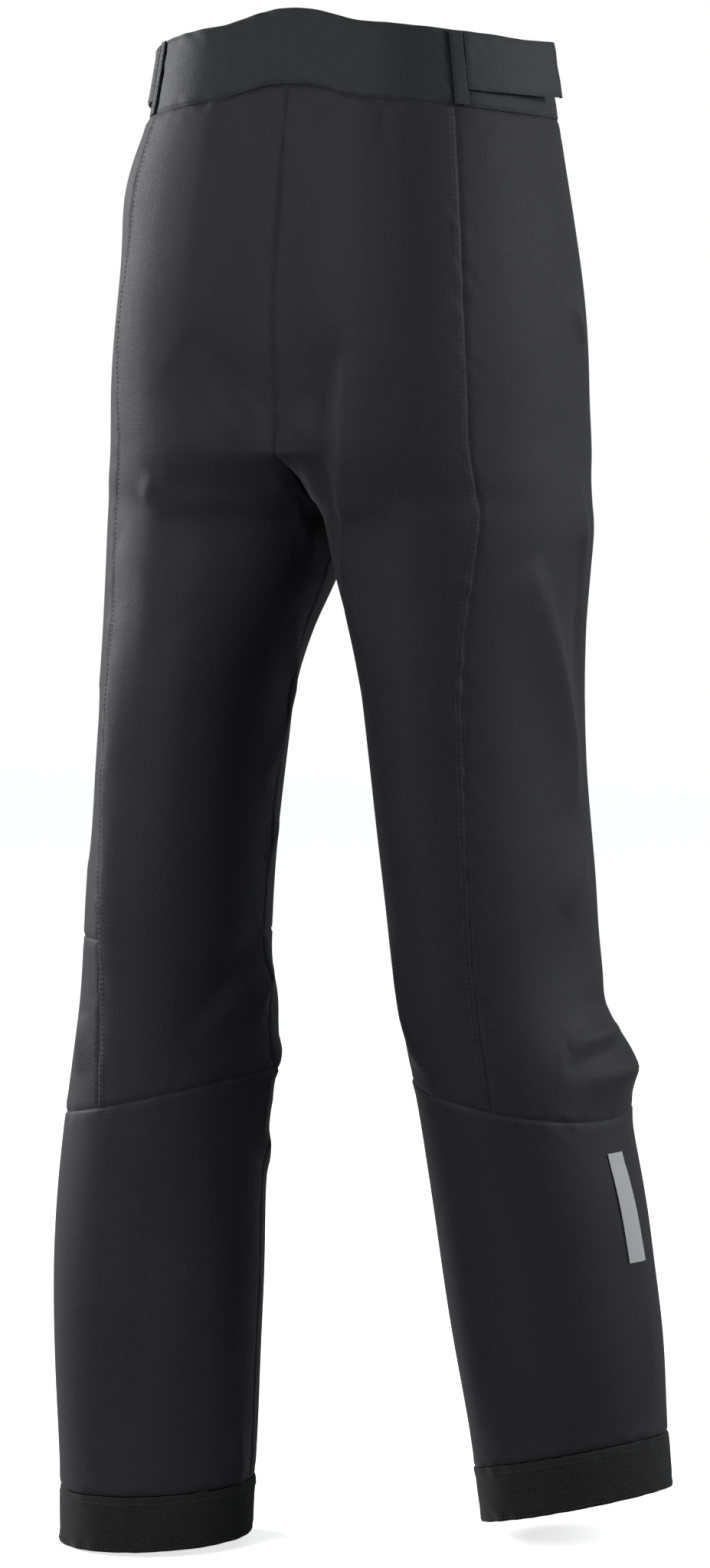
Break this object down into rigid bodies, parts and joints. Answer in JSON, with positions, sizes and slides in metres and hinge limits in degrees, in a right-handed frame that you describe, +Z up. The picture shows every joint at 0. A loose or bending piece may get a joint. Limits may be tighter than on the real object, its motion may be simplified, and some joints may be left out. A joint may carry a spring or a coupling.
{
  "type": "ski pants",
  "caption": "Softshell ski pants, worn from waist to ankle, with a shaped waistband, waist tabs, zipped fly and hand pockets, lining, inner snow gaiters and textured hem cuffs.",
  "frame": {"origin": "centre of the waist opening, midway between its back and front edges", "axes": "+Z up the body, -Y the way the wearer faces, +X the wearer's left"},
  "size_m": [0.3908, 0.2635, 1.031],
  "materials": {
    "softshell": "matt knit-backed softshell",
    "cuff_twill": "coarse twill",
    "lining_knit": "smooth knit",
    "gaiter_nylon": "coated plain weave",
    "elastic": "ribbed elastic",
    "hook_and_loop": "napped",
    "zip_tape": "woven tape",
    "zip_coil": "moulded coil",
    "dark_metal": "satin black",
    "reflective_film": "pearly reflective"
  },
  "bodies": {
    "garment": {"back_panel_left": "softshell", "back_panel_right": "softshell", "closure_underlap": "softshell", "fly_shield": "lining_knit", "fly_zip_tape": "zip_tape", "fly_zip_teeth": "zip_coil", "front_panel_left": "softshell", "front_panel_right": "softshell", "gaiter_elastic_left": "elastic", "gaiter_elastic_right": "elastic", "hanger_loop_left": "zip_tape", "hanger_loop_right": "zip_tape", "hem_cuff_left": "cuff_twill", "hem_cuff_right": "cuff_twill", "knee_panel_left": "softshell", "knee_panel_right": "softshell", "lining_left": "lining_knit", "lining_right": "lining_knit", "loop_patch_left": "hook_and_loop", "loop_patch_right": "hook_and_loop", "lower_back_panel_left": "softshell", "lower_back_panel_right": "softshell", "lower_front_panel_left": "softshell", "lower_front_panel_right": "softshell", "pocket_bag_left": "lining_knit", "pocket_bag_right": "lining_knit", "pocket_zip_left_tape": "zip_tape", "pocket_zip_left_teeth": "zip_coil", "pocket_zip_right_tape": "zip_tape", "pocket_zip_right_teeth": "zip_coil", "reflective_mark": "reflective_film", "side_panel_left": "softshell", "side_panel_right": "softshell", "snap_stud_1": "dark_metal", "snap_stud_2": "dark_metal", "snow_gaiter_left": "gaiter_nylon", "snow_gaiter_right": "gaiter_nylon", "waistband_back": "softshell", "waistband_facing": "elastic", "waistband_front_left": "softshell", "waistband_front_right": "softshell", "waistband_side_left": "softshell", "waistband_side_right": "softshell", "waistband_strip_left": "softshell", "waistband_strip_right": "softshell"},
    "adjuster_tab_left": {"adjuster_tab_left": "softshell", "hook_patch_left": "hook_and_loop"},
    "adjuster_tab_right": {"adjuster_tab_right": "softshell", "hook_patch_right": "hook_and_loop"},
    "closure_flap": {"closure_flap": "softshell", "snap_cap_1": "dark_metal", "snap_cap_2": "dark_metal"},
    "fly_zip_slider": {"fly_zip_slider": "dark_metal"},
    "fly_zip_pull": {"fly_zip_pull": "dark_metal"},
    "pocket_zip_left_slider": {"pocket_zip_left_slider": "dark_metal"},
    "pocket_zip_left_pull": {"pocket_zip_left_pull": "dark_metal"},
    "pocket_zip_right_slider": {"pocket_zip_right_slider": "dark_metal"},
    "pocket_zip_right_pull": {"pocket_zip_right_pull": "dark_metal"}
  },
  "joints": [
    {"name": "adjuster_tab_left_peel", "type": "hinge", "parent": "garment", "child": "adjuster_tab_left", "pos_m": [0.1143, 0.07051, -0.02747], "axis": [-0.1399, -0.0789, 0.987], "range_deg": [0, 80]},
    {"name": "adjuster_tab_right_peel", "type": "hinge", "parent": "garment", "child": "adjuster_tab_right", "pos_m": [-0.1143, 0.07051, -0.02747], "axis": [-0.1399, 0.0789, -0.987], "range_deg": [0, 80]},
    {"name": "closure_flap_open", "type": "hinge", "parent": "garment", "child": "closure_flap", "pos_m": [0.03541, -0.10265, -0.03881], "axis": [-0.045, 0.1148, 0.9924], "range_deg": [0, 90]},
    {"name": "fly_zip_slide", "type": "slide", "parent": "garment", "child": "fly_zip_slider", "axis": [0, -0.0476, -0.9989], "range_m": [0, 0.132]},
    {"name": "fly_zip_pull_swing", "type": "hinge", "parent": "fly_zip_slider", "child": "fly_zip_pull", "pos_m": [0.00001, -0.10943, -0.07452], "axis": [-1, 0, 0], "range_deg": [0, 150]},
    {"name": "pocket_zip_left_slide", "type": "slide", "parent": "garment", "child": "pocket_zip_left_slider", "axis": [0.0869, -0.0332, -0.9957], "range_m": [0, 0.132]},
    {"name": "pocket_zip_left_pull_swing", "type": "hinge", "parent": "pocket_zip_left_slider", "child": "pocket_zip_left_pull", "pos_m": [0.1067, -0.09078, -0.0864], "axis": [-0.7904, -0.6106, -0.0486], "range_deg": [0, 150]},
    {"name": "pocket_zip_right_slide", "type": "slide", "parent": "garment", "child": "pocket_zip_right_slider", "axis": [-0.0869, -0.0332, -0.9957], "range_m": [0, 0.132]},
    {"name": "pocket_zip_right_pull_swing", "type": "hinge", "parent": "pocket_zip_right_slider", "child": "pocket_zip_right_pull", "pos_m": [-0.1067, -0.09078, -0.0864], "axis": [-0.7904, 0.6106, 0.0486], "range_deg": [0, 150]}
  ]
}
